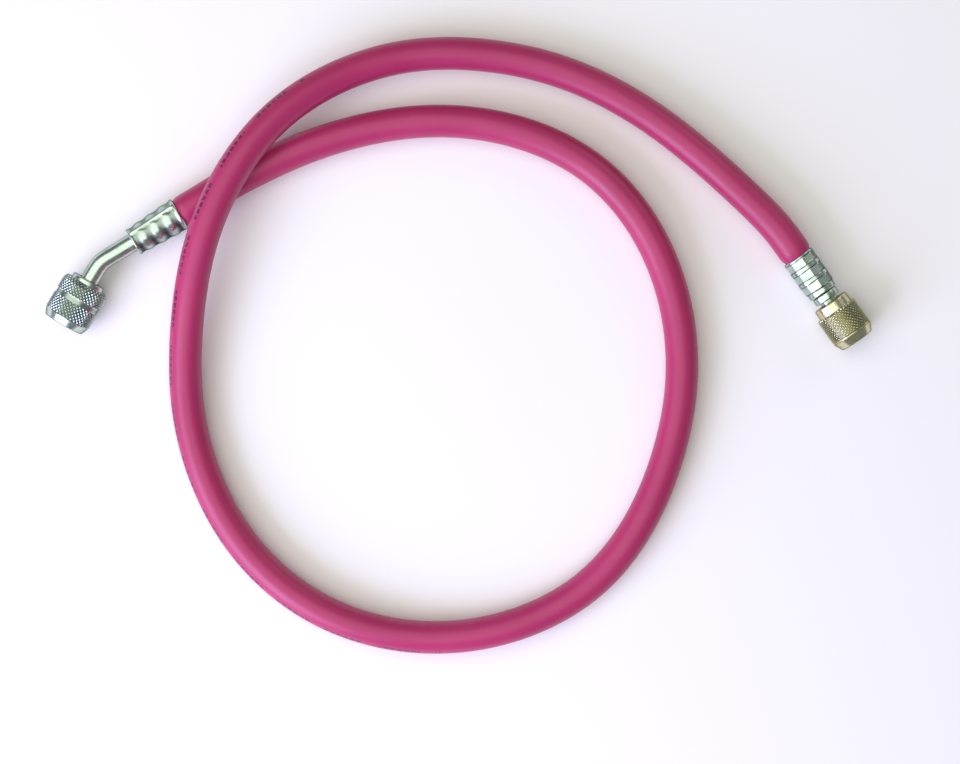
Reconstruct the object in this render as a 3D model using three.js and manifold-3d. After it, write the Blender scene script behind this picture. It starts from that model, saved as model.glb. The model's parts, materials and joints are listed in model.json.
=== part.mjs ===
// Refrigerant charging hose: a crimped rubber hose lying in a loose ring, with a bent
// swivel fitting on one end and a straight one on the other. Millimetres, +Z up.
import * as THREE from 'three';
import { mergeVertices } from 'three/addons/utils/BufferGeometryUtils.js';
import Module from 'manifold-3d';

const wasm = await Module();
wasm.setup();

// Clearances
const fitGap = 0.3; // between pieces that touch or are pressed together
const swivelGap = 0.35; // between a nut and the stem that it turns on

const edgeBreak = 0.3; // chamfer on outer edges
const overshoot = 1; // of a cutter past what it cuts

// Hose
const hoseDiameter = 11.4;
const hoseBore = 5;
const hoseNeckDiameter = 9.8; // squeezed by the ferrule's mouth
const hoseCrimpedDiameter = 8.2; // squeezed under the crimp
const neckLength = 1.6;
const squeezeLength = 1.2; // over which the hose narrows

// Stems
const tubeDiameter = 6.35;
const stemBore = 3;
const barbDepth = 0.35;
const barbPitch = 3.2;
const barbFlat = 0.6; // of each pitch, behind the ramp
const barbSetback = 1.2; // from the ferrule's mouth to the tip of the barbed end
const bendAngle = 27.2; // degrees, between the hose and the nut of the bent fitting
const bendRadius = 10; // of the tube's centreline
const bentTubeRun = 13.3; // from the bent ferrule's front to the corner of the tube's axes
const cornerToNut = 7.5; // from that corner to the nut's rear face
const neckCollarDiameter = 9.2; // on the straight stem, behind its nut
const neckCollarLength = 2.4;
const collarToNut = 1.3;
const headDiameter = 9.2; // the flange that holds the nut on
const headThickness = 1.8;

// Ferrules
const ferruleFrontWall = 1.7;
const bentFerruleLength = 19;
const bentFerruleMouthDiameter = 12.1;
const bentFerruleFrontDiameter = 10;
const crimpGrooveDepth = 0.35;
const crimpGrooveWidth = 2.4;
const crimpGrooveCount = 4;
const crimpGroovePitch = 5;
const firstCrimpGroove = 2.1; // from the mouth to the groove's middle
const flashWidth = 1;
const flashHeight = 0.3; // of the two lines that the closing crimp dies leave
const flashAngle = 32; // degrees, of one line from the top
const straightFerruleLength = 15.4;
const straightFerruleDiameter = 11.4;
const jawCount = 8; // flats that the crimp jaws press round each band
const jawBandCount = 3;
const jawBandLength = 3;
const jawBandPitch = 4.6;
const firstJawBand = 0.9; // from the mouth
const jawDepth = 0.45;
const ferruleNoseDiameter = 10.2;
const ferruleNoseLength = 2;

// Swivel nuts
const threadBore = 9.9; // 7/16-20 UNF, at the thread's crests
const threadMouthDiameter = 11.4;
const nutRearWall = 3;
const bentNut = {
  length: 17.6,
  diameter: 16.8, // over the knurl
  collarDiameter: 12,
  collarLength: 1.6,
  shoulderDiameter: 15.2, // where the knurl starts, at the collar
  shoulderLength: 1.6, // over which it rises to the nut's full diameter
  grooveStart: 7.2,
  grooveLength: 1.8,
  grooveDepth: 0.4,
  knurlEnd: 14.8,
  frontDiameter: 14.4,
};
const straightNut = {
  length: 16.4,
  diameter: 15.2,
  collarDiameter: 12.8,
  collarLength: 3.4,
  shoulderDiameter: 14.2,
  shoulderLength: 0.6,
  grooveStart: 12.8,
  grooveLength: 0.5,
  grooveDepth: 0.4,
  knurlEnd: 13.3,
  frontDiameter: 12.4,
};

// Seals and valve core depressor
const gasketThickness = 2.2;
const gasketHole = 4;
const depressorSeatDiameter = 5.4;
const depressorSeatDepth = 1.1;
const depressorBarWidth = 1.4;
const depressorBarThickness = 0.8;
const depressorPinDiameter = 1.8;
const depressorPinLength = 4.3;

// Facets
const hoseSides = 12;
const boreSides = 8;
const hoseSteps = 66;
const turnedSides = 24;
const nutSides = 32;
const tubeSides = 16;
const tubeSteps = 24;

// Heights above the floor: the hose lies on it, and each nut lies on its knurl
const lying = hoseDiameter / 2;
const straightHeight = straightNut.diameter / 2;
const bentFerruleDroop = 1.4; // the bent fitting's hose end lies this much below its nut
const mouthHeight = bentNut.diameter / 2 - bentFerruleDroop;
const rising = (share, height) => lying + (height - lying) * share;
const toBent = (share) => rising(share, mouthHeight);
const toStraight = (share) => rising(share, straightHeight);
const crossedHeight = toBent(0.54); // of the strand that the hose passes over
const humpHeight = crossedHeight + hoseDiameter + 2 * fitGap;
const onHump = (share) => rising(share, humpHeight);

// Centreline of the hose from the bent fitting's ferrule to the straight one's
const route = [
  [-98, 21, mouthHeight], [-87.8, 27.3, toBent(0.62)], [-77, 33.5, toBent(0.31)],
  [-55, 44, lying], [-29, 51.5, lying], [-2.5, 53.5, lying],
  [24, 48.5, lying], [47.5, 36, lying], [65, 15.5, lying],
  [75, -9.5, lying], [77.5, -36, lying], [73, -62, lying],
  [62.5, -87.5, lying], [45.5, -108.5, lying], [22.5, -121.5, lying],
  [-3.5, -127, lying], [-30.5, -124.5, lying], [-55, -114, lying],
  [-75, -96, onHump(0.002)], [-88.5, -72.5, onHump(0.02)], [-95.2, -46.5, onHump(0.11)],
  [-94.9, -20, onHump(0.45)], [-90.4, 6.5, onHump(0.85)], [-80.5, 31.1, onHump(1)],
  [-64.6, 52.6, onHump(0.85)], [-43.6, 67.6, onHump(0.45)], [-18.6, 76.1, onHump(0.11)],
  [8.5, 76.5, onHump(0.02)], [35, 71, onHump(0.002)], [59.5, 59.5, toStraight(0.14)],
  [81, 44, toStraight(0.46)], [101.2, 25.7, toStraight(0.82)], [111.1, 15.4, straightHeight],
  [117.8, 6, straightHeight],
].map((point) => new THREE.Vector3(...point));

// A smooth curve (a cubic B-spline) that passes along a list of points
class SmoothRoute extends THREE.Curve {
  constructor(points) {
    super();
    this.arcLengthDivisions = 40 * points.length;
    const last = points.length - 1;
    const inner = points.slice(1, last).map((point, i) => point.clone()
      .multiplyScalar(8).sub(points[i]).sub(points[i + 2]).divideScalar(6));
    const controls = [points[0], ...inner, points[last]];
    const before = controls[0].clone().multiplyScalar(2).sub(controls[1]);
    const after = controls[last].clone().multiplyScalar(2).sub(controls[last - 1]);
    this.controls = [before, ...controls, after];
  }

  getPoint(t, target = new THREE.Vector3()) {
    const spans = this.controls.length - 3;
    const span = Math.min(Math.floor(t * spans), spans - 1);
    const v = t * spans - span;
    const weights = [
      (1 - v) ** 3,
      3 * v ** 3 - 6 * v ** 2 + 4,
      -3 * v ** 3 + 3 * v ** 2 + 3 * v + 1,
      v ** 3,
    ];
    target.set(0, 0, 0);
    weights.forEach((weight, i) => target.addScaledVector(this.controls[span + i], weight / 6));
    return target;
  }
}

// Solids and booleans
function solidOf(geometry, matrix = new THREE.Matrix4()) {
  const bare = geometry.clone().applyMatrix4(matrix);
  bare.deleteAttribute('normal');
  bare.deleteAttribute('uv');
  const merged = mergeVertices(bare, 1e-4);
  const corners = Array.from(merged.index.array);
  const triangles = [];
  for (let i = 0; i < corners.length; i += 3) {
    const [a, b, c] = corners.slice(i, i + 3);
    if (a !== b && b !== c && c !== a) triangles.push(a, b, c);
  }
  return new wasm.Manifold(new wasm.Mesh({
    numProp: 3,
    vertProperties: new Float32Array(merged.attributes.position.array),
    triVerts: new Uint32Array(triangles),
  }));
}

function geometryOf(solid) {
  const { vertProperties, triVerts } = solid.getMesh();
  const geometry = new THREE.BufferGeometry();
  geometry.setAttribute('position', new THREE.BufferAttribute(vertProperties, 3));
  geometry.setIndex(new THREE.BufferAttribute(triVerts, 1));
  geometry.computeVertexNormals();
  return geometry;
}

// A ring turned about Y from [radius, y] corners, which closes on itself
function turned(corners, sides = turnedSides) {
  const points = corners.map(([radius, y]) => new THREE.Vector2(radius, y));
  if (THREE.ShapeUtils.area(points) < 0) points.reverse();
  return new THREE.LatheGeometry([...points, points[0]], sides);
}

function circle(radius, sides) {
  const points = [];
  for (let i = 0; i < sides; i += 1) {
    const angle = (2 * Math.PI * i) / sides;
    points.push(new THREE.Vector2(radius * Math.cos(angle), radius * Math.sin(angle)));
  }
  return points;
}

function swept(path, section, steps) {
  return new THREE.ExtrudeGeometry(section, { steps, extrudePath: path, bevelEnabled: false });
}

// Turns +Y to a direction, keeping Z as upright as it can be, and moves to a place
function frameAlong(direction, origin) {
  const y = direction.clone().normalize();
  const x = new THREE.Vector3().crossVectors(y, new THREE.Vector3(0, 0, 1)).normalize();
  const z = new THREE.Vector3().crossVectors(x, y);
  return new THREE.Matrix4().makeBasis(x, y, z).setPosition(origin);
}

function insertionOf(ferruleLength) {
  return ferruleLength - ferruleFrontWall - fitGap;
}

// Where the hose's surface runs from a ferrule's mouth inwards, with a gap around it
function squeezedProfile(gap, end) {
  return [
    [hoseNeckDiameter / 2 + gap, 0],
    [hoseNeckDiameter / 2 + gap, neckLength],
    [hoseCrimpedDiameter / 2 + gap, neckLength + squeezeLength],
    [hoseCrimpedDiameter / 2 + gap, end],
  ];
}

// Frames of the two fittings, with +Y from the hose's mouth towards the nut
const cornerDistance = bentFerruleLength + bentTubeRun;
const collarStart = straightFerruleLength + fitGap;
const collarEnd = collarStart + neckCollarLength;
const straightNutSetback = collarEnd + collarToNut;
const lastPoint = route.length - 1;
const bentAxis = new THREE.Vector3().subVectors(route[0], route[1]).setZ(0).normalize();
bentAxis.setZ(Math.tan(Math.asin(bentFerruleDroop / cornerDistance))).normalize();
const bentFrame = frameAlong(bentAxis, route[0]);
const straightAxis = new THREE.Vector3().subVectors(route[lastPoint], route[lastPoint - 1])
  .setZ(0).normalize();
const straightFrame = frameAlong(straightAxis, route[lastPoint]);

const corner = route[0].clone().addScaledVector(bentAxis, cornerDistance);
const bentNutAxis = new THREE.Vector3(bentAxis.x, bentAxis.y, 0).normalize()
  .applyAxisAngle(new THREE.Vector3(0, 0, 1), THREE.MathUtils.degToRad(bendAngle));
const bentNutOrigin = corner.clone().addScaledVector(bentNutAxis, cornerToNut);
const bentNutFrame = frameAlong(bentNutAxis, bentNutOrigin);
const straightNutOrigin = route[lastPoint].clone()
  .addScaledVector(straightAxis, straightNutSetback);
const straightNutFrame = frameAlong(straightAxis, straightNutOrigin);

// Places along a nut, from its rear face
const headStart = nutRearWall + fitGap;
const headEnd = headStart + headThickness;
const gasketStart = headEnd + fitGap;

function hose() {
  const bentEnd = insertionOf(bentFerruleLength);
  const straightEnd = insertionOf(straightFerruleLength);
  const inBentFerrule = route[0].clone().addScaledVector(bentAxis, bentEnd);
  const inStraightFerrule = route[lastPoint].clone().addScaledVector(straightAxis, straightEnd);
  const centreline = new SmoothRoute([inBentFerrule, ...route, inStraightFerrule]);
  const section = new THREE.Shape(circle(hoseDiameter / 2, hoseSides));
  section.holes.push(new THREE.Path(circle(hoseBore / 2, boreSides)));
  const whole = solidOf(swept(centreline, section, hoseSteps));
  const clear = hoseDiameter / 2 + overshoot;
  const squeeze = (end) => turned([
    [hoseDiameter / 2, -squeezeLength],
    ...squeezedProfile(0, end + overshoot),
    [clear, end + overshoot],
    [clear, -squeezeLength],
  ]);
  return geometryOf(whole
    .subtract(solidOf(squeeze(bentEnd), bentFrame))
    .subtract(solidOf(squeeze(straightEnd), straightFrame)));
}

// Inside of a ferrule, listed from its front hole back to its mouth
function ferruleInside(length) {
  const hole = tubeDiameter / 2 + fitGap;
  const front = length - ferruleFrontWall;
  return [[hole, length], [hole, front], ...squeezedProfile(fitGap, front).reverse()];
}

function bentFerrule() {
  const mouth = bentFerruleMouthDiameter / 2;
  const front = bentFerruleFrontDiameter / 2;
  const radiusAt = (y) => mouth + ((front - mouth) * y) / bentFerruleLength;
  const outside = [[mouth - edgeBreak, 0], [mouth, edgeBreak]];
  const half = crimpGrooveWidth / 2;
  for (let groove = 0; groove < crimpGrooveCount; groove += 1) {
    const y = firstCrimpGroove + groove * crimpGroovePitch;
    outside.push([radiusAt(y - half), y - half]);
    outside.push([radiusAt(y) - crimpGrooveDepth, y - half / 3]);
    outside.push([radiusAt(y) - crimpGrooveDepth, y + half / 3]);
    outside.push([radiusAt(y + half), y + half]);
  }
  outside.push([front, bentFerruleLength - edgeBreak], [front - edgeBreak, bentFerruleLength]);
  const shell = solidOf(turned([...outside, ...ferruleInside(bentFerruleLength)]));
  const inner = hoseCrimpedDiameter / 2 + 2 * fitGap;
  const start = neckLength + squeezeLength;
  const end = bentFerruleLength - ferruleFrontWall;
  const flash = new THREE.Shape([
    new THREE.Vector2(inner, start),
    new THREE.Vector2(radiusAt(start) + flashHeight, start),
    new THREE.Vector2(radiusAt(end) + flashHeight, end),
    new THREE.Vector2(inner, end),
  ]);
  const line = new THREE.ExtrudeGeometry(flash, { depth: flashWidth, bevelEnabled: false });
  line.translate(0, 0, -flashWidth / 2);
  line.rotateY(THREE.MathUtils.degToRad(flashAngle - 90));
  const opposite = new THREE.Matrix4().makeRotationY(Math.PI);
  const marked = shell.add(solidOf(line)).add(solidOf(line, opposite));
  return geometryOf(marked);
}

function straightFerrule() {
  const ring = straightFerruleDiameter / 2;
  const nose = ferruleNoseDiameter / 2;
  const noseStart = straightFerruleLength - ferruleNoseLength;
  const shell = solidOf(turned([
    [ring - edgeBreak, 0],
    [ring, edgeBreak],
    [ring, noseStart - edgeBreak],
    [nose, noseStart],
    [nose, straightFerruleLength - edgeBreak],
    [nose - edgeBreak, straightFerruleLength],
    ...ferruleInside(straightFerruleLength),
  ]));
  const clear = ring + overshoot;
  const flat = ring - jawDepth;
  const cornerRadius = flat / Math.cos(Math.PI / jawCount);
  const bands = [];
  for (let band = 0; band < jawBandCount; band += 1) {
    const start = firstJawBand + band * jawBandPitch;
    const outer = turned([
      [flat - overshoot, start],
      [clear, start],
      [clear, start + jawBandLength],
      [flat - overshoot, start + jawBandLength],
    ]);
    const kept = turned([
      [flat - 2 * overshoot, start - overshoot],
      [cornerRadius, start - overshoot],
      [cornerRadius, start + jawBandLength + overshoot],
      [flat - 2 * overshoot, start + jawBandLength + overshoot],
    ], jawCount);
    bands.push(solidOf(outer).subtract(solidOf(kept)));
  }
  return geometryOf(bands.reduce((solid, band) => solid.subtract(band), shell));
}

// Barbed end of a stem, listed from its tip to where the full tube starts
function barbs(end) {
  const tip = hoseBore / 2 - fitGap;
  const corners = [];
  for (let y = barbSetback; y + barbPitch <= end; y += barbPitch) {
    const rampEnd = y + barbPitch - barbFlat;
    corners.push([tip - barbDepth, y], [tip, rampEnd], [tip, y + barbPitch]);
  }
  corners.push([tip - barbDepth, end]);
  return corners;
}

function bentStem() {
  const shoulder = insertionOf(bentFerruleLength) + fitGap;
  const along = (distance) => route[0].clone().addScaledVector(bentAxis, distance);
  const pastNut = (distance) => bentNutOrigin.clone().addScaledVector(bentNutAxis, distance);
  const setback = bendRadius * Math.tan(THREE.MathUtils.degToRad(bendAngle) / 2);
  const bendStart = along(cornerDistance - setback);
  const bendEnd = corner.clone().addScaledVector(bentNutAxis, setback);
  const centreline = (start, end) => {
    const path = new THREE.CurvePath();
    path.add(new THREE.LineCurve3(start, bendStart));
    path.add(new THREE.QuadraticBezierCurve3(bendStart, corner, bendEnd));
    path.add(new THREE.LineCurve3(bendEnd, end));
    return path;
  };
  const tube = new THREE.Shape(circle(tubeDiameter / 2, tubeSides));
  const bore = new THREE.Shape(circle(stemBore / 2, boreSides));
  const core = stemBore / 3; // within the bore, which is cut last
  const barbed = turned([
    ...barbs(shoulder + overshoot),
    [core, shoulder + overshoot],
    [core, barbSetback],
  ]);
  const head = turned([
    [core, headStart],
    [headDiameter / 2, headStart],
    [headDiameter / 2, headEnd],
    [core, headEnd],
  ]);
  const wall = swept(centreline(along(shoulder), pastNut(headEnd - overshoot)), tube, tubeSteps);
  const hole = swept(centreline(along(0), pastNut(headEnd + overshoot)), bore, tubeSteps);
  return geometryOf(solidOf(wall)
    .add(solidOf(barbed, bentFrame))
    .add(solidOf(head, bentNutFrame))
    .subtract(solidOf(hole)));
}

function straightStem() {
  const shoulder = insertionOf(straightFerruleLength) + fitGap;
  const tube = tubeDiameter / 2;
  return turned([
    ...barbs(shoulder),
    [tube, shoulder],
    [tube, collarStart],
    [neckCollarDiameter / 2, collarStart],
    [neckCollarDiameter / 2, collarEnd],
    [tube, collarEnd],
    [tube, straightNutSetback + headStart],
    [headDiameter / 2, straightNutSetback + headStart],
    [headDiameter / 2, straightNutSetback + headEnd],
    [stemBore / 2, straightNutSetback + headEnd],
    [stemBore / 2, barbSetback],
  ]);
}

function swivelNut(size) {
  const knurl = size.diameter / 2;
  const grooveEnd = size.grooveStart + size.grooveLength;
  const leadIn = (threadMouthDiameter - threadBore) / 2;
  const outside = [
    [size.collarDiameter / 2 - edgeBreak, 0],
    [size.collarDiameter / 2, edgeBreak],
    [size.collarDiameter / 2, size.collarLength],
    [size.shoulderDiameter / 2, size.collarLength],
    [knurl, size.collarLength + size.shoulderLength],
    [knurl, size.grooveStart],
    [knurl - size.grooveDepth, size.grooveStart],
    [knurl - size.grooveDepth, grooveEnd],
  ];
  if (size.knurlEnd > grooveEnd) outside.push([knurl, grooveEnd], [knurl, size.knurlEnd]);
  outside.push([size.frontDiameter / 2, size.length]);
  const inside = [
    [threadMouthDiameter / 2, size.length],
    [threadBore / 2, size.length - leadIn],
    [threadBore / 2, nutRearWall],
    [tubeDiameter / 2 + swivelGap, nutRearWall],
    [tubeDiameter / 2 + swivelGap, 0],
  ];
  return turned([...outside, ...inside], nutSides);
}

const gasketDiameter = threadBore - 2 * fitGap;

function gasket(seatDepth) {
  const seat = seatDepth > 0
    ? [[gasketHole / 2, gasketStart + seatDepth],
      [depressorSeatDiameter / 2, gasketStart + seatDepth],
      [depressorSeatDiameter / 2, gasketStart]]
    : [[gasketHole / 2, gasketStart]];
  return turned([
    [gasketDiameter / 2, gasketStart],
    [gasketDiameter / 2, gasketStart + gasketThickness],
    [gasketHole / 2, gasketStart + gasketThickness],
    ...seat,
  ]);
}

function coreDepressor() {
  const length = depressorSeatDiameter - 2 * fitGap;
  const bar = new THREE.BoxGeometry(length, depressorBarThickness, depressorBarWidth);
  bar.translate(0, gasketStart + depressorBarThickness / 2, 0);
  const pinRadius = depressorPinDiameter / 2;
  const pin = new THREE.CylinderGeometry(pinRadius, pinRadius, depressorPinLength, boreSides);
  const pinStart = gasketStart + depressorBarThickness / 2;
  pin.translate(0, pinStart + depressorPinLength / 2, 0);
  return geometryOf(solidOf(bar).add(solidOf(pin)));
}

// Finishes
const rubber = new THREE.MeshStandardMaterial({ color: 0xbf3d78, roughness: 0.42 });
const nickel = new THREE.MeshStandardMaterial({ color: 0xc3cdc4, metalness: 1, roughness: 0.25 });
const paleBrass = new THREE.MeshStandardMaterial({
  color: 0xbdbb86,
  metalness: 1,
  roughness: 0.3,
});
const brass = new THREE.MeshStandardMaterial({ color: 0xc9a75c, metalness: 1, roughness: 0.3 });
const seal = new THREE.MeshStandardMaterial({ color: 0x1c1c1e, roughness: 0.6 });

function piece(name, geometry, material) {
  const mesh = new THREE.Mesh(geometry, material);
  mesh.name = name;
  return mesh;
}

// Gathers the pieces of one frame, which +Y runs along
function placed(frame, ...pieces) {
  const group = new THREE.Group();
  group.add(...pieces);
  frame.decompose(group.position, group.quaternion, group.scale);
  return group;
}

const chargingHose = new THREE.Group();
chargingHose.add(
  piece('hose', hose(), rubber),
  piece('bent_stem', bentStem(), nickel),
  placed(bentFrame, piece('bent_ferrule', bentFerrule(), nickel)),
  placed(
    bentNutFrame,
    piece('bent_end_nut', swivelNut(bentNut), nickel),
    piece('bent_end_gasket', gasket(depressorSeatDepth), seal),
    piece('core_depressor', coreDepressor(), brass),
  ),
  placed(
    straightFrame,
    piece('straight_ferrule', straightFerrule(), nickel),
    piece('straight_stem', straightStem(), nickel),
  ),
  placed(
    straightNutFrame,
    piece('straight_end_nut', swivelNut(straightNut), paleBrass),
    piece('straight_end_gasket', gasket(0), seal),
  ),
);

export default chargingHose;
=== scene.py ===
import json
import math

import bpy
import numpy as np
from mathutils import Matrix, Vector

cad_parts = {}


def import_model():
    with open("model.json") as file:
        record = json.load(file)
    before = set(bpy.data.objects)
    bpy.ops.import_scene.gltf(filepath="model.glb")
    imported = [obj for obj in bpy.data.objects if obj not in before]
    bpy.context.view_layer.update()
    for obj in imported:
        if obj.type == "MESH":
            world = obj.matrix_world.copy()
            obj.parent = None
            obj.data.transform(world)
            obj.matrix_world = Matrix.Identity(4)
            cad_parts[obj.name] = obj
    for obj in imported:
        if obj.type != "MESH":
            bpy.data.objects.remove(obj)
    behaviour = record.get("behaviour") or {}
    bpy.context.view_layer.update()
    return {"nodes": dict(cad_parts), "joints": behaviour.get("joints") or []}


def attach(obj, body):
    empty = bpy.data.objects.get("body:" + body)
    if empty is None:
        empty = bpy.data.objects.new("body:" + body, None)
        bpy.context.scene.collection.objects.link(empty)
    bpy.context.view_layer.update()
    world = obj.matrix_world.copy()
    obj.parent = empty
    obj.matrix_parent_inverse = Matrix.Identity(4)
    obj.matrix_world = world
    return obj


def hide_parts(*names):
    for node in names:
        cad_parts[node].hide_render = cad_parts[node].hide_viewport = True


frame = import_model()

MM = 0.001

# Sizes of the solids, as in part.mjs
FIT_GAP = 0.3 * MM
SWIVEL_GAP = 0.35 * MM
HOSE_DIAMETER = 11.4 * MM
HOSE_BORE = 5 * MM
HOSE_NECK_DIAMETER = 9.8 * MM
HOSE_CRIMPED_DIAMETER = 8.2 * MM
NECK_LENGTH = 1.6 * MM
SQUEEZE_LENGTH = 1.2 * MM
TUBE_DIAMETER = 6.35 * MM
STEM_BORE = 3 * MM
BARB_DEPTH = 0.35 * MM
BARB_PITCH = 3.2 * MM
BARB_FLAT = 0.6 * MM
BARB_SETBACK = 1.2 * MM
BEND_RADIUS = 10 * MM
BENT_TUBE_RUN = 13.3 * MM
NECK_COLLAR_DIAMETER = 9.2 * MM
NECK_COLLAR_LENGTH = 2.4 * MM
HEAD_DIAMETER = 9.2 * MM
HEAD_THICKNESS = 1.8 * MM
FERRULE_FRONT_WALL = 1.7 * MM
BENT_FERRULE_LENGTH = 19 * MM
BENT_FERRULE_MOUTH_DIAMETER = 12.1 * MM
BENT_FERRULE_FRONT_DIAMETER = 10 * MM
CRIMP_GROOVE_DEPTH = 0.35 * MM
CRIMP_GROOVE_COUNT = 4
CRIMP_GROOVE_PITCH = 5 * MM
FIRST_CRIMP_GROOVE = 2.1 * MM
FLASH_WIDTH = 1 * MM
FLASH_HEIGHT = 0.3 * MM
FLASH_ANGLE = math.radians(32)  # of one of the crimp dies' lines from the ferrule's top
STRAIGHT_FERRULE_LENGTH = 15.4 * MM
STRAIGHT_FERRULE_DIAMETER = 11.4 * MM
JAW_COUNT = 8
JAW_BAND_COUNT = 3
JAW_BAND_LENGTH = 3 * MM
JAW_BAND_PITCH = 4.6 * MM
FIRST_JAW_BAND = 0.9 * MM
JAW_DEPTH = 0.45 * MM
FERRULE_NOSE_DIAMETER = 10.2 * MM
FERRULE_NOSE_LENGTH = 2 * MM
THREAD_BORE = 9.9 * MM
THREAD_MOUTH_DIAMETER = 11.4 * MM
NUT_REAR_WALL = 3 * MM
GASKET_THICKNESS = 2.2 * MM
GASKET_HOLE = 4 * MM
DEPRESSOR_SEAT_DIAMETER = 5.4 * MM
DEPRESSOR_SEAT_DEPTH = 1.1 * MM
EDGE_BREAK = 0.3 * MM
BENT_NUT = dict(
    length=17.6 * MM, diameter=16.8 * MM, collar_diameter=12 * MM, collar_length=1.6 * MM,
    shoulder_diameter=15.2 * MM, shoulder_length=1.6 * MM, groove_start=7.2 * MM,
    groove_length=1.8 * MM, groove_depth=0.4 * MM, knurl_end=14.8 * MM, front_diameter=14.4 * MM,
)
STRAIGHT_NUT = dict(
    length=16.4 * MM, diameter=15.2 * MM, collar_diameter=12.8 * MM, collar_length=3.4 * MM,
    shoulder_diameter=14.2 * MM, shoulder_length=0.6 * MM, groove_start=12.8 * MM,
    groove_length=0.5 * MM, groove_depth=0.4 * MM, knurl_end=13.3 * MM, front_diameter=12.4 * MM,
)

# What only the looks need
KNURL_COUNT = 36  # diamonds round a nut
KNURL_DEPTH = 0.34 * MM
KNURL_CLIP = 0.62  # share of a full pyramid's height at which its top is flat
STEPS_PER_DIAMOND = 8
NUT_COLUMNS = KNURL_COUNT * STEPS_PER_DIAMOND
BAND_LEAD = 0.15 * MM  # from a knurled band's edge to its first row
BAND_TAIL = 0.05 * MM  # from its last row to the groove after it
ROOT_STEP = 0.04 * MM  # along the nut, from a band's end row to the root beside it
FRONT_CONE_STEP = 0.5 * MM  # from the last band to the first ring of the front's cone
COLLAR_FILLET = 0.1 * MM
WIDE_GROOVE_SLOPE = 0.15 * MM
NARROW_GROOVE_SLOPE = 0.1 * MM
FRONT_LIP_LENGTH = 0.25 * MM
FRONT_LIP_WIDTH = 0.2 * MM
NUT_ROUNDING = 0.2 * MM
THREAD_PITCH = 25.4 * MM / 20
THREAD_DEPTH = 0.5 * MM
THREAD_RUNOUT = 1.5 * MM  # from the gasket to the thread's inner end
THREAD_ROWS_PER_TURN = 6
# Painted shade, from 0 to 1: in a nut's plain groove, at its front end, and inside the ferrules
GROOVE_SHADE = 0.35  # how deep in a recess a nut's plain groove looks, from 0 to 1
FRONT_SHADE = 0.8
INSIDE_SHADE = 0.4
FERRULE_ROUNDING = 0.4 * MM
CRIMP_ROW_SPACING = 0.14 * MM
CRIMP_DIE_SLOPE = 0.9 * MM  # from a die's line to the full depth of its waves
CRIMP_WAVE_POWER = 1.2
JAW_ROW_SPACING = 0.12 * MM
JAW_EDGE_SLOPE = 0.42 * MM
JAW_RIM_DEPTH = 0.1 * MM
JAW_CORNER = 0.86  # share of half a flat at which its corner starts
JAW_CORNER_DEPTH = 0.12 * MM
PINCH_LENGTH = 1.6 * SQUEEZE_LENGTH  # over which the hose narrows outside a ferrule
PINCH_DEPTH = 0.25 * MM
HOSE_RINGS = 640
HOSE_SIDES = 72
BORE_RING_STEP = 3  # the bore has a ring at every third one of the cover
STEPS_PER_ROUTE_POINT = 60
BEND_POINTS = 17
METAL_COLUMNS = 160
STEM_COLUMNS = METAL_COLUMNS // 2
STEM_ROW_SPACING = 0.9 * MM
SAME_PLACE = 1e-7  # metres, within which two measures are taken as equal
PRINT_HEIGHT = 1.5  # mm, of the printed line's dashes
PRINT_START = 392.0  # mm along the hose
PRINT_END = 648.0
PRINT_PEAK = 605.0  # where the line comes nearest to the hose's top
PRINT_FALL = 90.0  # over which it turns down to the side from there
PRINT_NEAREST = -3.9  # mm round the hose from its top, outwards
PRINT_FURTHEST = -6.0
LETTER_PITCH = 2.3  # mm along the hose
LETTER_SHARE = 0.7  # of the pitch, which the dash takes
WORD_PITCH = 19.0
WORD_SHARE = 0.72
PRINT_STRENGTH = 0.85

# Camera: straight above, as the photograph is taken
VIEW_X = 6.9 * MM
VIEW_Y = -37.75 * MM
VIEW_WIDTH = 336 * MM  # across the image, at the height of the hose's centreline
CAMERA_HEIGHT = 750 * MM
SENSOR_WIDTH = 36  # mm

# Light and floor
LIGHTS_AIM = (0.0, -0.02, 0.0)
WORLD_STRENGTH = 0.2
FLOOR_HALF_WIDTH = 3.0  # metres
FLOOR_WHITE = (0.94, 0.94, 0.94, 1.0)

# Heights above the floor
LYING = HOSE_DIAMETER / 2
STRAIGHT_HEIGHT = STRAIGHT_NUT["diameter"] / 2
BENT_FERRULE_DROOP = 1.4 * MM
MOUTH_HEIGHT = BENT_NUT["diameter"] / 2 - BENT_FERRULE_DROOP


def rising(share, height):
    return LYING + (height - LYING) * share


def to_bent(share):
    return rising(share, MOUTH_HEIGHT)


def to_straight(share):
    return rising(share, STRAIGHT_HEIGHT)


HUMP_HEIGHT = to_bent(0.54) + HOSE_DIAMETER + 2 * FIT_GAP


def on_hump(share):
    return rising(share, HUMP_HEIGHT)


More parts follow.
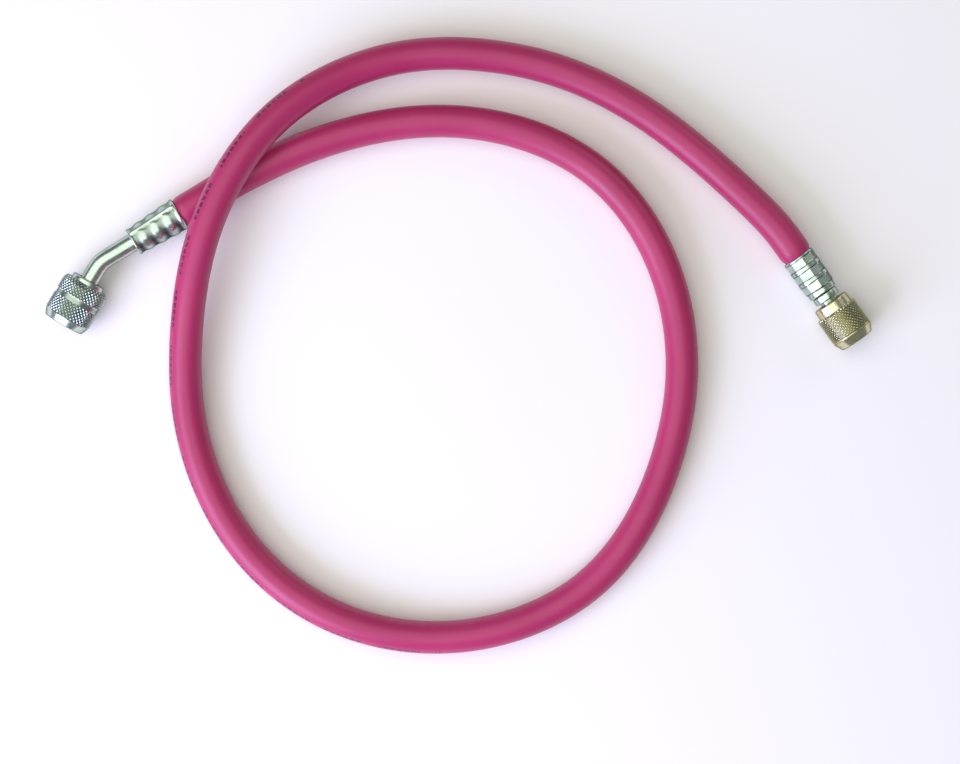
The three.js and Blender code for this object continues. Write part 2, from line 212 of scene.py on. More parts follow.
# Centreline of the hose from the bent fitting's ferrule to the straight one's
ROUTE = np.array([(x * MM, y * MM, z) for x, y, z in [
    (-98, 21, MOUTH_HEIGHT), (-87.8, 27.3, to_bent(0.62)), (-77, 33.5, to_bent(0.31)),
    (-55, 44, LYING), (-29, 51.5, LYING), (-2.5, 53.5, LYING),
    (24, 48.5, LYING), (47.5, 36, LYING), (65, 15.5, LYING),
    (75, -9.5, LYING), (77.5, -36, LYING), (73, -62, LYING),
    (62.5, -87.5, LYING), (45.5, -108.5, LYING), (22.5, -121.5, LYING),
    (-3.5, -127, LYING), (-30.5, -124.5, LYING), (-55, -114, LYING),
    (-75, -96, on_hump(0.002)), (-88.5, -72.5, on_hump(0.02)), (-95.2, -46.5, on_hump(0.11)),
    (-94.9, -20, on_hump(0.45)), (-90.4, 6.5, on_hump(0.85)), (-80.5, 31.1, on_hump(1)),
    (-64.6, 52.6, on_hump(0.85)), (-43.6, 67.6, on_hump(0.45)), (-18.6, 76.1, on_hump(0.11)),
    (8.5, 76.5, on_hump(0.02)), (35, 71, on_hump(0.002)), (59.5, 59.5, to_straight(0.14)),
    (81, 44, to_straight(0.46)), (101.2, 25.7, to_straight(0.82)), (111.1, 15.4, STRAIGHT_HEIGHT),
    (117.8, 6, STRAIGHT_HEIGHT),
]])
UP = np.array([0.0, 0.0, 1.0])


def unit(vector):
    return vector / np.linalg.norm(vector)


class Place:
    """A frame whose Y runs along a direction and whose Z stays as upright as it can."""

    def __init__(self, origin, direction):
        self.origin = np.array(origin, dtype=float)
        self.y = unit(np.array(direction, dtype=float))
        self.x = unit(np.cross(self.y, UP))
        self.z = np.cross(self.x, self.y)

    def point(self, points):
        points = np.asarray(points)
        return (self.origin + points[..., :1] * self.x + points[..., 1:2] * self.y
                + points[..., 2:] * self.z)


JOINTS = {joint["child"]: joint for joint in frame["joints"]}
BENT_NUT_PLACE = Place(JOINTS["bent_nut"]["pos_m"], JOINTS["bent_nut"]["axis"])
STRAIGHT_NUT_PLACE = Place(JOINTS["straight_nut"]["pos_m"], JOINTS["straight_nut"]["axis"])
FLAT = np.array([1.0, 1.0, 0.0])
BENT_HEADING = unit((ROUTE[0] - ROUTE[1]) * FLAT)
CORNER_DISTANCE = BENT_FERRULE_LENGTH + BENT_TUBE_RUN
BENT_RISE = math.tan(math.asin(BENT_FERRULE_DROOP / CORNER_DISTANCE))
BENT_PLACE = Place(ROUTE[0], BENT_HEADING + BENT_RISE * UP)
STRAIGHT_PLACE = Place(ROUTE[-1], (ROUTE[-1] - ROUTE[-2]) * FLAT)
STRAIGHT_NUT_SETBACK = np.linalg.norm(STRAIGHT_NUT_PLACE.origin - STRAIGHT_PLACE.origin)
BENT_INSERTION = BENT_FERRULE_LENGTH - FERRULE_FRONT_WALL - FIT_GAP
STRAIGHT_INSERTION = STRAIGHT_FERRULE_LENGTH - FERRULE_FRONT_WALL - FIT_GAP
HEAD_START = NUT_REAR_WALL + FIT_GAP
HEAD_END = HEAD_START + HEAD_THICKNESS
GASKET_START = HEAD_END + FIT_GAP


# Lines
def smooth_route(points, steps):
    """Points on a cubic B-spline that passes along a list of points."""
    inner = (8 * points[1:-1] - points[:-2] - points[2:]) / 6
    controls = np.vstack([points[:1], inner, points[-1:]])
    before = 2 * controls[0] - controls[1]
    after = 2 * controls[-1] - controls[-2]
    controls = np.vstack([before, controls, after])
    v = np.arange(steps) / steps
    weights = np.column_stack([
        (1 - v) ** 3,
        3 * v ** 3 - 6 * v ** 2 + 4,
        -3 * v ** 3 + 3 * v ** 2 + 3 * v + 1,
        v ** 3,
    ]) / 6
    spans = [weights @ controls[i:i + 4] for i in range(len(controls) - 3)]
    return np.vstack(spans + [points[-1:]])


def lengths_along(points):
    steps = np.linalg.norm(np.diff(points, axis=0), axis=1)
    return np.concatenate([[0.0], np.cumsum(steps)])


def interpolated(places, along, points):
    """Values between 3-D points that are given at those lengths along their line."""
    return np.column_stack([np.interp(places, along, points[:, i]) for i in range(3)])


def evenly(points, count):
    along = lengths_along(points)
    return interpolated(np.linspace(0, along[-1], count), along, points)


def unit_rows(vectors):
    return vectors / np.linalg.norm(vectors, axis=1)[:, None]


def across(turn, heading):
    """Directions square to each heading, at each angle from its upright side."""
    side = unit_rows(np.cross(heading, UP))
    upright = np.cross(side, heading)
    return (np.cos(turn)[None, :, None] * upright[:, None, :]
            + np.sin(turn)[None, :, None] * side[:, None, :])


def ramp(value, start, length):
    """0 up to the start, 1 from that length after it, and a straight rise between them."""
    return np.clip((value - start) / length, 0, 1)


def eased(share):
    return share * share * (3 - 2 * share)


def softened(corners, radius, steps=4):
    """A line through 2-D corners, with each inner corner rounded by that radius at most."""
    corners = [np.array(corner, dtype=float) for corner in corners]
    line = [corners[0]]
    for before, corner, after in zip(corners, corners[1:], corners[2:]):
        reach = min(radius, np.linalg.norm(before - corner) / 2.2,
                    np.linalg.norm(after - corner) / 2.2)
        start = corner + reach * unit(before - corner)
        end = corner + reach * unit(after - corner)
        for step in range(steps + 1):
            t = step / steps
            line.append((1 - t) ** 2 * start + 2 * t * (1 - t) * corner + t ** 2 * end)
    line.append(corners[-1])
    return line


def spaced(line, spacing):
    """The same line with points added where two lie further apart than the spacing."""
    result = [line[0]]
    for a, b in zip(line, line[1:]):
        parts = max(1, math.ceil(np.linalg.norm(b - a) / spacing))
        result += [a + (b - a) * (i + 1) / parts for i in range(parts)]
    return result


# Meshes
def closed_skin(name, rings, sharp, recess=None, uv=None):
    """A closed mesh of rings of points, where the last ring joins the first.

    Edges that bend by more than the angle called sharp are shaded as edges."""
    rows, columns, _ = rings.shape
    flat = rings.reshape(-1, 3)
    i, j = np.meshgrid(np.arange(rows), np.arange(columns), indexing="ij")
    below, right = (i + 1) % rows, (j + 1) % columns
    a, b = i * columns + j, i * columns + right
    c, d = below * columns + right, below * columns + j
    faces = np.stack([a, b, c, d], axis=-1).reshape(-1, 4)
    mesh = bpy.data.meshes.new(name)
    mesh.from_pydata(flat.tolist(), [], faces.tolist())
    # recess carries painted shade, which the metals' shader turns into darker colour
    if recess is not None:
        layer = mesh.attributes.new("recess", "FLOAT", "POINT")
        layer.data.foreach_set("value", recess.reshape(-1).astype(np.float32))
    if uv is not None:
        corners = np.stack([
            np.stack([uv[0][i], uv[1][j]], axis=-1),
            np.stack([uv[0][i], uv[1][j + 1]], axis=-1),
            np.stack([uv[0][i + 1], uv[1][j + 1]], axis=-1),
            np.stack([uv[0][i + 1], uv[1][j]], axis=-1),
        ], axis=2)
        mesh.uv_layers.new(name="UVMap").data.foreach_set("uv", corners.reshape(-1))
    mesh.validate()
    mesh.polygons.foreach_set("use_smooth", [True] * len(mesh.polygons))
    mesh.set_sharp_from_angle(angle=math.radians(sharp))
    mesh.update()
    piece = bpy.data.objects.new(name, mesh)
    bpy.context.scene.collection.objects.link(piece)
    return piece


def turned(name, place, profile, columns, sharp, relief=None):
    """A piece turned about its place's Y from a closed (radius, y) line.

    relief(angle, y, radius) gives how far the surface sinks and how much painted shade it gets
    there, from 0 to 1, as in a recess."""
    profile = np.array(profile)
    angle = np.arange(columns) * 2 * math.pi / columns
    radius = np.repeat(profile[:, :1], columns, axis=1)
    y = np.repeat(profile[:, 1:], columns, axis=1)
    recess = np.zeros_like(radius)
    if relief is not None:
        sunk, recess = relief(np.broadcast_to(angle, radius.shape), y, radius)
        radius = radius - sunk
    points = np.stack([radius * np.sin(angle), y, radius * np.cos(angle)], axis=-1)
    return closed_skin(name, place.point(points), sharp, recess=recess)


def finish(piece, material, body="root"):
    piece.data.materials.append(material)
    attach(piece, body)
    return piece


# Shader nodes
def colour(red, green, blue):
    """A shader's linear colour from the 0 to 255 values that a screen shows."""
    def linear(value):
        value /= 255
        return value / 12.92 if value <= 0.04045 else ((value + 0.055) / 1.055) ** 2.4
    return (linear(red), linear(green), linear(blue), 1.0)


class Shader:
    """A material with a principled surface, and short calls for the nodes that feed it."""

    def __init__(self, name):
        self.material = bpy.data.materials.new(name)
        self.material.use_nodes = True
        self.tree = self.material.node_tree
        self.surface = self.tree.nodes["Principled BSDF"]

    def node(self, kind, inputs=None, **settings):
        made = self.tree.nodes.new(kind)
        for key, value in settings.items():
            setattr(made, key, value)
        for key, value in (inputs or {}).items():
            self.put(made.inputs[key], value)
        return made

    def put(self, socket, value):
        if isinstance(value, bpy.types.NodeSocket):
            self.tree.links.new(value, socket)
        else:
            socket.default_value = value

    def set(self, **values):
        for key, value in values.items():
            self.put(self.surface.inputs[key.replace("_", " ")], value)

    def math(self, operation, a, b=0.0):
        return self.node("ShaderNodeMath", {0: a, 1: b}, operation=operation).outputs[0]

    def between(self, value, low, high, start=0.0, end=1.0):
        made = self.node("ShaderNodeMapRange", {
            "Value": value, "From Min": low, "From Max": high, "To Min": start, "To Max": end,
        })
        return made.outputs["Result"]

    def mix(self, factor, a, b):
        made = self.node("ShaderNodeMix", data_type="RGBA")
        self.put(made.inputs["Factor"], factor)
        self.put(made.inputs["A"], a)
        self.put(made.inputs["B"], b)
        return made.outputs["Result"]

    def noise(self, scale, detail=3.0, roughness=0.5, vector=None):
        if vector is None:
            vector = self.node("ShaderNodeTexCoord").outputs["Object"]
        inputs = {"Scale": scale, "Detail": detail, "Roughness": roughness, "Vector": vector}
        return self.node("ShaderNodeTexNoise", inputs).outputs["Fac"]

    def attribute(self, name):
        return self.node("ShaderNodeAttribute", attribute_name=name).outputs["Fac"]

    def bump(self, height, distance, strength):
        made = self.node("ShaderNodeBump", {
            "Height": height, "Distance": distance, "Strength": strength,
        })
        self.set(Normal=made.outputs["Normal"])


def repeated(shader, along, pitch, share):
    """1 over that share of each pitch along the hose."""
    turn = shader.math("FRACT", shader.math("DIVIDE", along, pitch))
    return shader.math("LESS_THAN", turn, share)


def printed_dashes(shader, uv):
    """1 on the broken dashes of the printed line, in the hose's own UV of millimetres."""
    parts = shader.node("ShaderNodeSeparateXYZ", {"Vector": uv})
    along, around = parts.outputs["X"], parts.outputs["Y"]
    from_top = shader.math("ABSOLUTE", shader.math("SUBTRACT", along, PRINT_PEAK))
    line = shader.between(from_top, 0.0, PRINT_FALL, PRINT_NEAREST, PRINT_FURTHEST)
    off = shader.math("ABSOLUTE", shader.math("SUBTRACT", around, line))
    band = shader.math("LESS_THAN", off, PRINT_HEIGHT / 2)
    letter = repeated(shader, along, LETTER_PITCH, LETTER_SHARE)
    word = repeated(shader, along, WORD_PITCH, WORD_SHARE)
    group = shader.math("MULTIPLY", shader.math("GREATER_THAN", along, PRINT_START),
                        shader.math("LESS_THAN", along, PRINT_END))
    mask = shader.math("MULTIPLY", shader.math("MULTIPLY", band, letter),
                       shader.math("MULTIPLY", word, group))
    worn = shader.between(shader.noise(scale=1400.0), 0.36, 0.48)
    return shader.math("MULTIPLY", mask, worn)


def hose_rubber():
    """Rubber with a slight cloud, pale dust, fine lines from its drawing and the print."""
    shader = Shader("hose_rubber_cover")
    uv = shader.node("ShaderNodeUVMap", uv_map="UVMap").outputs["UV"]
    printed = shader.math("MULTIPLY", printed_dashes(shader, uv), PRINT_STRENGTH)
    cloud = shader.between(shader.noise(scale=26.0, detail=4.0), 0.3, 0.7)
    body = shader.mix(cloud, colour(168, 42, 94), colour(180, 50, 104))
    dust = shader.noise(scale=900.0, detail=5.0, roughness=0.65)
    body = shader.mix(shader.between(dust, 0.62, 0.8, 0.0, 0.12), body, colour(206, 104, 150))
    body = shader.mix(printed, body, colour(52, 16, 38))
    streaks = shader.node("ShaderNodeMapping", {"Vector": uv, "Scale": (0.05, 5.0, 1.0)})
    drawn = shader.noise(scale=1.0, detail=2.0, vector=streaks.outputs["Vector"])
    grain = shader.noise(scale=2600.0)
    height = shader.math("ADD", shader.math("MULTIPLY", drawn, 0.6), grain)
    shader.bump(height, distance=0.06 * MM, strength=0.5)
    rough = shader.between(shader.noise(scale=60.0, detail=4.0), 0.3, 0.7, 0.33, 0.43)
    shader.set(Base_Color=body, Roughness=rough, Specular_IOR_Level=0.45)
    return shader.material


def plated(name, light, dark, smooth, rough, tarnish_and_shade, edge):
    """Machined and plated metal with random tarnish spots, painted shade in its recesses where it
    is also duller, and darker at a glancing angle.
    """
    shader = Shader(name)
    cloud = shader.noise(scale=220.0, detail=4.0, roughness=0.6)
    body = shader.mix(shader.between(cloud, 0.32, 0.68), light, dark)
    deep = shader.attribute("recess")
    # Painted shade: where the recess attribute is high, the dark tarnish colour is mixed in as
    # shade
    body = shader.mix(shader.math("MULTIPLY", deep, 0.9), body, tarnish_and_shade)
    # Tarnish spots at random, which are the metal's own colour
    spots = shader.noise(scale=1500.0, detail=5.0, roughness=0.6)
    body = shader.mix(shader.between(spots, 0.63, 0.75, 0.0, 0.3), body, tarnish_and_shade)
    wear = shader.noise(scale=420.0, detail=5.0, roughness=0.6)
    wear = shader.between(wear, 0.3, 0.7, smooth, rough)
    wear = shader.math("ADD", wear, shader.math("MULTIPLY", deep, 0.12))
    grain = shader.noise(scale=3200.0, detail=4.0, roughness=0.6)
    shader.bump(grain, distance=0.03 * MM, strength=0.35)
    shader.set(Base_Color=body, Metallic=1.0, Roughness=wear, Specular_Tint=edge)
    return shader.material


# Each dark tarnish colour below serves both for tarnish spots and for painted shade in recesses
def nickel_plate():
    return plated("nickel_plate_bright", light=colour(210, 228, 216),
                  dark=colour(182, 202, 190), smooth=0.2, rough=0.31,
                  tarnish_and_shade=colour(58, 68, 60), edge=colour(118, 124, 116))


def pale_brass():
    return plated("brass_pale_plate", light=colour(228, 227, 192),
                  dark=colour(210, 208, 166), smooth=0.2, rough=0.32,
                  tarnish_and_shade=colour(112, 112, 80), edge=colour(140, 138, 106))


def yellow_brass():
    return plated("brass_yellow", light=colour(224, 190, 116),
                  dark=colour(204, 168, 92), smooth=0.2, rough=0.32,
                  tarnish_and_shade=colour(98, 74, 30), edge=colour(150, 130, 84))


def seal_rubber():
    shader = Shader("seal_rubber_black")
    cloud = shader.between(shader.noise(scale=500.0, detail=4.0), 0.3, 0.7)
    shader.bump(shader.noise(scale=2400.0), distance=0.05 * MM, strength=0.4)
    shader.set(Base_Color=shader.mix(cloud, colour(30, 30, 33), colour(48, 47, 50)),
               Roughness=0.55)
    return shader.material


# Pieces
def ferruled_radius(inside):
    """The hose's radius at a distance inside a ferrule's mouth, which is below 0 outside it."""
    full, neck, crimped = HOSE_DIAMETER / 2, HOSE_NECK_DIAMETER / 2, HOSE_CRIMPED_DIAMETER / 2
    places = [-PINCH_LENGTH, -PINCH_LENGTH / 2, 0.0, NECK_LENGTH, NECK_LENGTH + SQUEEZE_LENGTH]
    return np.interp(inside, places, [full, full - PINCH_DEPTH, neck, neck, crimped])


def hose(material):
    ends = [BENT_PLACE.origin + BENT_INSERTION * BENT_PLACE.y,
            STRAIGHT_PLACE.origin + STRAIGHT_INSERTION * STRAIGHT_PLACE.y]
    points = np.vstack([ends[:1], ROUTE, ends[1:]])
    line = evenly(smooth_route(points, STEPS_PER_ROUTE_POINT), HOSE_RINGS)
    along = lengths_along(line)
    length = along[-1]
    heading = unit_rows(np.gradient(line, axis=0))
    inside = np.maximum(BENT_INSERTION - along, STRAIGHT_INSERTION - (length - along))
    outer = ferruled_radius(inside)
    bore_rows = np.arange(HOSE_RINGS - 1, -1, -BORE_RING_STEP)
    rows = np.concatenate([np.arange(HOSE_RINGS), bore_rows, [0]])
    radii = np.concatenate([outer, np.full(len(bore_rows) + 1, HOSE_BORE / 2)])
    turn = -math.pi + np.arange(HOSE_SIDES) * 2 * math.pi / HOSE_SIDES
    rings = line[rows][:, None, :] + radii[:, None, None] * across(turn, heading)[rows]
    u = np.append(along[rows], 0.0) / MM
    v = np.append(turn, math.pi) * HOSE_DIAMETER / 2 / MM
    piece = closed_skin("hose_cover", rings, 50, uv=(u, v))
    finish(piece, material)
    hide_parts("hose")
    return piece, line, length


def triangle_wave(x):
    return 1 - np.abs(2 * (x - np.floor(x)) - 1)


def knurl(angle, y, start, pitch):
    """How high the diamonds of a knurl stand at a point, from 0 in a groove to 1 on a top."""
    around = KNURL_COUNT * angle / (2 * math.pi)
    along = (y - start) / pitch
    height = np.minimum(triangle_wave(around + along), triangle_wave(around - along))
    return np.minimum(height / KNURL_CLIP, 1)


def knurl_rows(start, end, pitch, radius):
    """Rows of a knurl at the spacing at which its grooves run through the mesh's corners."""
    step = pitch / STEPS_PER_DIAMOND
    count = int((end - start) / step + 1e-6)
    return [np.array([radius(start + i * step), start + i * step]) for i in range(count + 1)]


def swivel_nut(name, node, place, size, material, body):
    """A nut's line runs forwards outside, round its front rim and back through its bore."""
    crest, length = size["diameter"] / 2, size["length"]
    collar, collar_end = size["collar_diameter"] / 2, size["collar_length"]
    pitch = math.pi * size["diameter"] / KNURL_COUNT
    groove_start, knurl_end = size["groove_start"], size["knurl_end"]
    groove_end = groove_start + size["groove_length"]
    groove = crest - size["groove_depth"]
    two_bands = knurl_end > groove_end + FIT_GAP
    tube = TUBE_DIAMETER / 2 + SWIVEL_GAP
    crests = ([collar_end, collar_end + size["shoulder_length"]],
              [size["shoulder_diameter"] / 2, crest])

    def top(y):
        return np.interp(y, *crests)

    def root(y):
        return top(y) - KNURL_DEPTH

    bands = [(collar_end + BAND_LEAD, groove_start - BAND_TAIL)]
    line = softened([
        (tube, 0), (collar - EDGE_BREAK, 0), (collar, EDGE_BREAK),
        (collar, collar_end - COLLAR_FILLET), (collar + COLLAR_FILLET, collar_end),
        (root(collar_end) - 0.05 * MM, collar_end),
        (root(collar_end), bands[0][0] - 0.03 * MM),
    ], NUT_ROUNDING)
    line += knurl_rows(*bands[0], pitch, top)
    end = line[-1][1]
    if two_bands:
        bands.append((groove_end + BAND_LEAD, knurl_end))
        line += softened([
            (crest - KNURL_DEPTH, end + ROOT_STEP), (groove, groove_start + WIDE_GROOVE_SLOPE),
            (groove, groove_end - 0.05 * MM), (crest - KNURL_DEPTH, bands[1][0] - ROOT_STEP),
        ], WIDE_GROOVE_SLOPE)
        line += knurl_rows(*bands[1], pitch, top)
        end = line[-1][1]
        line.append(np.array([crest - KNURL_DEPTH, end + ROOT_STEP]))
    else:
        line += softened([
            (crest - KNURL_DEPTH, end + ROOT_STEP), (groove, groove_start + NARROW_GROOVE_SLOPE),
            (groove, groove_end - 0.05 * MM), (crest - 0.05 * MM, knurl_end),
        ], NARROW_GROOVE_SLOPE)
        end = knurl_end
    front, mouth = size["front_diameter"] / 2, THREAD_MOUTH_DIAMETER / 2
    lead_in = (THREAD_MOUTH_DIAMETER - THREAD_BORE) / 2
    share = (end + FRONT_CONE_STEP - knurl_end) / (length - knurl_end)
    line += softened([
        (crest + (front - crest) * share - 0.04 * MM, end + FRONT_CONE_STEP),
        (front + 0.06 * MM, length - FRONT_LIP_LENGTH), (front - FRONT_LIP_WIDTH, length),
        (mouth, length),
        (THREAD_BORE / 2, length - lead_in),
    ], NUT_ROUNDING)
    thread_end = HEAD_END + GASKET_THICKNESS + THREAD_RUNOUT
    line += spaced([line[-1], np.array([THREAD_BORE / 2, thread_end])],
                   THREAD_PITCH / THREAD_ROWS_PER_TURN)[1:]
    line += softened([
        (THREAD_BORE / 2, thread_end - 0.5 * MM), (THREAD_BORE / 2, NUT_REAR_WALL),
        (tube, NUT_REAR_WALL), (tube, 0.4 * MM),
    ], NUT_ROUNDING)

    def relief(angle, y, radius):
        sunk, recess = np.zeros_like(radius), np.zeros_like(radius)
        for start, end in bands:
            within = ((y > start - SAME_PLACE) & (y < end + SAME_PLACE)
                      & (radius > top(y) - SAME_PLACE))
            low = 1 - knurl(angle, y, start, pitch)
            sunk += np.where(within, KNURL_DEPTH * low, 0)
            # Painted shade: the knurl's valleys are darkened by this value as if shaded
            recess += np.where(within, low, 0)
        in_bore = np.abs(radius - THREAD_BORE / 2) < SAME_PLACE
        in_thread = in_bore & (y > thread_end - SAME_PLACE)
        turn = angle / (2 * math.pi) + y / THREAD_PITCH
        cut = THREAD_DEPTH * np.clip(1.4 * triangle_wave(turn) - 0.2, 0, 1)
        fade = ramp(length - lead_in - y, 0, THREAD_PITCH)
        sunk -= np.where(in_thread, cut * fade, 0)
        # Painted shade in the thread's valleys, the plain groove and at the front end
        recess = np.where(in_thread, cut / THREAD_DEPTH, recess)
        recess = np.where(np.abs(radius - groove) < SAME_PLACE, GROOVE_SHADE, recess)
        recess = np.where(y > length - EDGE_BREAK, FRONT_SHADE, recess)
        return sunk, recess

    piece = turned(name, place, line, NUT_COLUMNS, 22, relief)
    finish(piece, material, body)
    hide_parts(node)
    return piece


def ferrule_inside(length):
    """Inside of a ferrule, from its front hole back to its mouth."""
    hole = TUBE_DIAMETER / 2 + FIT_GAP
    front = length - FERRULE_FRONT_WALL
    neck = HOSE_NECK_DIAMETER / 2 + FIT_GAP
    crimped = HOSE_CRIMPED_DIAMETER / 2 + FIT_GAP
    return [(hole, length - 0.05 * MM), (hole, front), (crimped, front),
            (crimped, NECK_LENGTH + SQUEEZE_LENGTH), (neck, NECK_LENGTH), (neck, 0.05 * MM)]


def bent_ferrule(material):
    mouth, front = BENT_FERRULE_MOUTH_DIAMETER / 2, BENT_FERRULE_FRONT_DIAMETER / 2
    length = BENT_FERRULE_LENGTH
    first, pitch = FIRST_CRIMP_GROOVE, CRIMP_GROOVE_PITCH
    last = first + (CRIMP_GROOVE_COUNT - 1) * pitch
    outside = spaced(softened([
        (mouth - EDGE_BREAK, 0), (mouth, EDGE_BREAK), (front, length - EDGE_BREAK),
        (front - EDGE_BREAK, length),
    ], FERRULE_ROUNDING), CRIMP_ROW_SPACING)
    inside = softened(ferrule_inside(length), 0.2 * MM)
    outermost = front - 0.6 * MM

    def relief(angle, y, radius):
        on_outside = radius > outermost
        gap = np.abs(np.mod(angle - FLASH_ANGLE + math.pi / 2, math.pi) - math.pi / 2)
        off_line = gap * radius
        ridge = 1 - ramp(off_line, FLASH_WIDTH / 3, FLASH_WIDTH / 3)
        in_die = eased(ramp(off_line, FLASH_WIDTH / 2, CRIMP_DIE_SLOPE))
        wave = (0.5 + 0.5 * np.cos(2 * math.pi * (y - first) / pitch)) ** CRIMP_WAVE_POWER
        ends = ramp(y, 0.4 * MM, 0.8 * MM) * ramp(length - y, 0.5 * MM, 0.6 * MM)
        groove = wave * ends * (y < last + pitch / 2)
        sunk = groove * in_die * CRIMP_GROOVE_DEPTH - ridge * ends * FLASH_HEIGHT
        # Painted shade: the crimp valleys are darkened, more on one side of the ferrule as if
        # that side lay in shade; the inside gets painted shade too
        painted_valley_shade = groove * in_die * (0.55 + 0.45 * np.clip(-1.4 * np.sin(angle), 0, 1))
        return np.where(on_outside, sunk, 0), np.where(on_outside, painted_valley_shade, INSIDE_SHADE)

    piece = turned("bent_ferrule_shell", BENT_PLACE, outside + inside, METAL_COLUMNS, 40, relief)
    finish(piece, material)
    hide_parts("bent_ferrule")


def straight_ferrule(material):
    ring, nose = STRAIGHT_FERRULE_DIAMETER / 2, FERRULE_NOSE_DIAMETER / 2
    length = STRAIGHT_FERRULE_LENGTH
    nose_start = length - FERRULE_NOSE_LENGTH
    outside = spaced(softened([
        (ring - EDGE_BREAK, 0), (ring, EDGE_BREAK), (ring, nose_start - EDGE_BREAK),
        (nose, nose_start), (nose, length - EDGE_BREAK), (nose - EDGE_BREAK, length),
    ], 0.25 * MM), JAW_ROW_SPACING)
    inside = softened(ferrule_inside(length), 0.2 * MM)
    starts = [FIRST_JAW_BAND + band * JAW_BAND_PITCH for band in range(JAW_BAND_COUNT)]

    def relief(angle, y, radius):
        on_outside = radius > nose - 0.4 * MM
        sector = 2 * math.pi / JAW_COUNT
        off = np.mod(angle, sector) - sector / 2
        flat = (ring - JAW_DEPTH) / np.cos(off)
        edge = ramp(np.abs(off) / (sector / 2), JAW_CORNER, 1 - JAW_CORNER)
        pressed = np.zeros_like(y)
        for start in starts:
            near = np.minimum(y - start, start + JAW_BAND_LENGTH - y)
            pressed = np.maximum(pressed, np.clip(near / JAW_EDGE_SLOPE + 0.5, 0, 1))
        pressed = eased(pressed)
        sunk = pressed * np.maximum(radius - flat - edge * JAW_CORNER_DEPTH, 0)
        sunk = np.where(radius > nose + 0.1 * MM, sunk, 0)
        rim = 4 * pressed * (1 - pressed)
        sunk = sunk + rim * JAW_RIM_DEPTH
        # rim both cuts a shallow groove at each jaw band's edge and paints shade along it; the
        # inside gets painted shade from INSIDE_SHADE
        return np.where(on_outside, sunk, 0), np.where(on_outside, rim, INSIDE_SHADE)

    piece = turned("straight_ferrule_shell", STRAIGHT_PLACE, outside + inside, METAL_COLUMNS,
                   34, relief)
    finish(piece, material)
    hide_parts("straight_ferrule")
    return piece


def barbs(end):
    """Barbed end of a stem, from its tip to where the full tube starts."""
    tip = HOSE_BORE / 2 - FIT_GAP
    corners = []
    y = BARB_SETBACK
    while y + BARB_PITCH <= end:
        corners += [(tip - BARB_DEPTH, y), (tip, y + BARB_PITCH - BARB_FLAT),
                    (tip, y + BARB_PITCH)]
        y += BARB_PITCH
    return corners + [(tip - BARB_DEPTH, end)]


def bent_stem(material):
    """Barbs, bent tube and head in one, as rings along the tube's bent centreline."""
    shoulder = BENT_INSERTION + FIT_GAP
    bend = math.acos(float(np.dot(BENT_PLACE.y * FLAT, BENT_NUT_PLACE.y))
                     / float(np.linalg.norm(BENT_PLACE.y * FLAT)))
    setback = BEND_RADIUS * math.tan(bend / 2)
    corner = BENT_PLACE.origin + CORNER_DISTANCE * BENT_PLACE.y
    bend_start = corner - setback * BENT_PLACE.y
    bend_end = corner + setback * BENT_NUT_PLACE.y
    t = np.linspace(0, 1, BEND_POINTS)[:, None]
    curve = (1 - t) ** 2 * bend_start + 2 * t * (1 - t) * corner + t ** 2 * bend_end
    tip = BENT_PLACE.origin + BARB_SETBACK * BENT_PLACE.y
    tail = BENT_NUT_PLACE.origin + HEAD_END * BENT_NUT_PLACE.y
    line = np.vstack([tip, curve, tail])
    along = lengths_along(line)
    first = along[1] - (CORNER_DISTANCE - setback)  # distance zero is the ferrule's mouth
    nut = along[-1] - HEAD_END
    tube, head = TUBE_DIAMETER / 2, HEAD_DIAMETER / 2
    corners = [(radius, first + y) for radius, y in barbs(shoulder)] + [
        (tube, first + shoulder), (tube, nut + HEAD_START), (head, nut + HEAD_START),
        (head, nut + HEAD_END), (STEM_BORE / 2, nut + HEAD_END), (STEM_BORE / 2, 0),
    ]
    profile = np.array(spaced(softened(corners, 0.3 * MM, 3), STEM_ROW_SPACING))
    places = np.clip(profile[:, 1], 0, along[-1])
    centre = interpolated(places, along, line)
    heading = np.gradient(line, axis=0)
    heading[0], heading[1] = BENT_PLACE.y, BENT_PLACE.y
    heading[-1], heading[-2] = BENT_NUT_PLACE.y, BENT_NUT_PLACE.y
    heading = unit_rows(interpolated(places, along, unit_rows(heading)))
    turn = np.arange(STEM_COLUMNS) * 2 * math.pi / STEM_COLUMNS
    rings = centre[:, None, :] + profile[:, :1, None] * across(turn, heading)
    piece = closed_skin("bent_stem_tube", rings, 35, recess=np.zeros(rings.shape[:2]))
    finish(piece, material)
    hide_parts("bent_stem")


def straight_stem(material):
    shoulder = STRAIGHT_INSERTION + FIT_GAP
    collar_start = STRAIGHT_FERRULE_LENGTH + FIT_GAP
    collar_end = collar_start + NECK_COLLAR_LENGTH
    tube, collar, head = TUBE_DIAMETER / 2, NECK_COLLAR_DIAMETER / 2, HEAD_DIAMETER / 2
    corners = barbs(shoulder) + [
        (tube, shoulder), (tube, collar_start), (collar, collar_start), (collar, collar_end),
        (tube, collar_end), (tube, STRAIGHT_NUT_SETBACK + HEAD_START),
        (head, STRAIGHT_NUT_SETBACK + HEAD_START), (head, STRAIGHT_NUT_SETBACK + HEAD_END),
        (STEM_BORE / 2, STRAIGHT_NUT_SETBACK + HEAD_END), (STEM_BORE / 2, BARB_SETBACK),
    ]
    line = softened(corners, 0.35 * MM)
    piece = turned("straight_stem_tube", STRAIGHT_PLACE, line, STEM_COLUMNS, 35)
    finish(piece, material)
    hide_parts("straight_stem")
    return piece


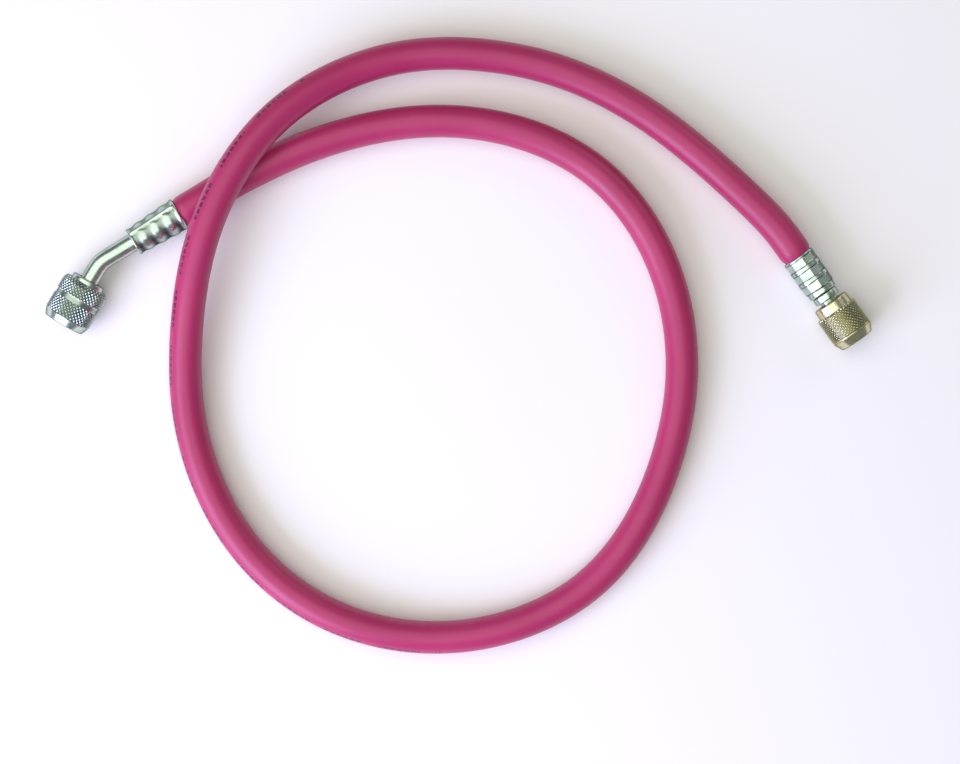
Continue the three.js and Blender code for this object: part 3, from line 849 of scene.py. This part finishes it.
def gasket(name, node, place, seat_depth, material):
    """A ring seal, with a seat of that depth in its back for the depressor, or none at 0."""
    outer, hole = THREAD_BORE / 2 - FIT_GAP, GASKET_HOLE / 2
    end = GASKET_START + GASKET_THICKNESS
    corners = [(hole, GASKET_START + seat_depth)]
    if seat_depth:
        seat = DEPRESSOR_SEAT_DIAMETER / 2
        corners += [(seat, GASKET_START + seat_depth), (seat, GASKET_START)]
    corners += [(outer, GASKET_START), (outer, end), (hole, end)]
    closed = corners + [corners[0] + np.array([0, 0.05 * MM])]
    line = softened(closed, 0.35 * MM)
    piece = turned(name, place, line, STEM_COLUMNS, 40)
    finish(piece, material)
    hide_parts(node)
    return piece


# Stage
def camera():
    data = bpy.data.cameras.new("camera")
    data.sensor_width = SENSOR_WIDTH
    data.lens = SENSOR_WIDTH * (CAMERA_HEIGHT - LYING) / VIEW_WIDTH
    data.clip_end = 10
    made = bpy.data.objects.new("camera", data)
    made.location = (VIEW_X, VIEW_Y, CAMERA_HEIGHT)
    bpy.context.scene.collection.objects.link(made)
    bpy.context.scene.camera = made


def floor():
    mesh = bpy.data.meshes.new("floor")
    half = FLOOR_HALF_WIDTH
    corners = [(-half, -half, 0), (half, -half, 0), (half, half, 0), (-half, half, 0)]
    mesh.from_pydata(corners, [], [(0, 1, 2, 3)])
    made = bpy.data.objects.new("floor", mesh)
    bpy.context.scene.collection.objects.link(made)
    shader = Shader("floor_white")
    shader.set(Base_Color=FLOOR_WHITE, Roughness=0.9)
    mesh.materials.append(shader.material)


def area_light(name, place, size, power, tint):
    data = bpy.data.lights.new(name, "AREA")
    data.shape = "RECTANGLE"
    data.size, data.size_y = size
    data.energy = power
    data.color = tint
    made = bpy.data.objects.new(name, data)
    made.location = place
    aim = Vector(LIGHTS_AIM) - Vector(place)
    made.rotation_euler = aim.to_track_quat("-Z", "Y").to_euler()
    bpy.context.scene.collection.objects.link(made)


def world():
    made = bpy.data.worlds.new("studio")
    made.use_nodes = True
    background = made.node_tree.nodes["Background"]
    background.inputs["Color"].default_value = (1.0, 1.0, 1.0, 1.0)
    background.inputs["Strength"].default_value = WORLD_STRENGTH
    bpy.context.scene.world = made
    bpy.context.scene.view_settings.view_transform = "Standard"


def lights():
    area_light("window", place=(-0.62, -0.58, 0.43), size=(0.75, 0.6), power=10.5,
               tint=(0.67, 0.65, 1.0))
    area_light("overhead", place=(-0.4, -0.1, 1.15), size=(1.7, 1.7), power=13,
               tint=(1.0, 0.98, 0.9))
    area_light("far_side", place=(0.7, 0.75, 0.6), size=(0.4, 0.4), power=1,
               tint=(1.0, 0.98, 0.95))


camera()
floor()
lights()
world()

nickel = nickel_plate()
cover, centreline, hose_length = hose(hose_rubber())
pieces_at_straight_end = [
    straight_ferrule(nickel),
    straight_stem(nickel),
    swivel_nut("straight_end_nut_knurled", "straight_end_nut", STRAIGHT_NUT_PLACE, STRAIGHT_NUT,
               pale_brass(), "straight_nut"),
    gasket("straight_end_seal", "straight_end_gasket", STRAIGHT_NUT_PLACE, 0, seal_rubber()),
]
bent_ferrule(nickel)
bent_stem(nickel)
swivel_nut("bent_end_nut_knurled", "bent_end_nut", BENT_NUT_PLACE, BENT_NUT,
           nickel, "bent_nut")
gasket("bent_end_seal", "bent_end_gasket", BENT_NUT_PLACE, DEPRESSOR_SEAT_DEPTH,
       bpy.data.materials["seal_rubber_black"])
depressor = frame["nodes"]["core_depressor"]
depressor.data.materials.clear()
depressor.data.materials.append(yellow_brass())
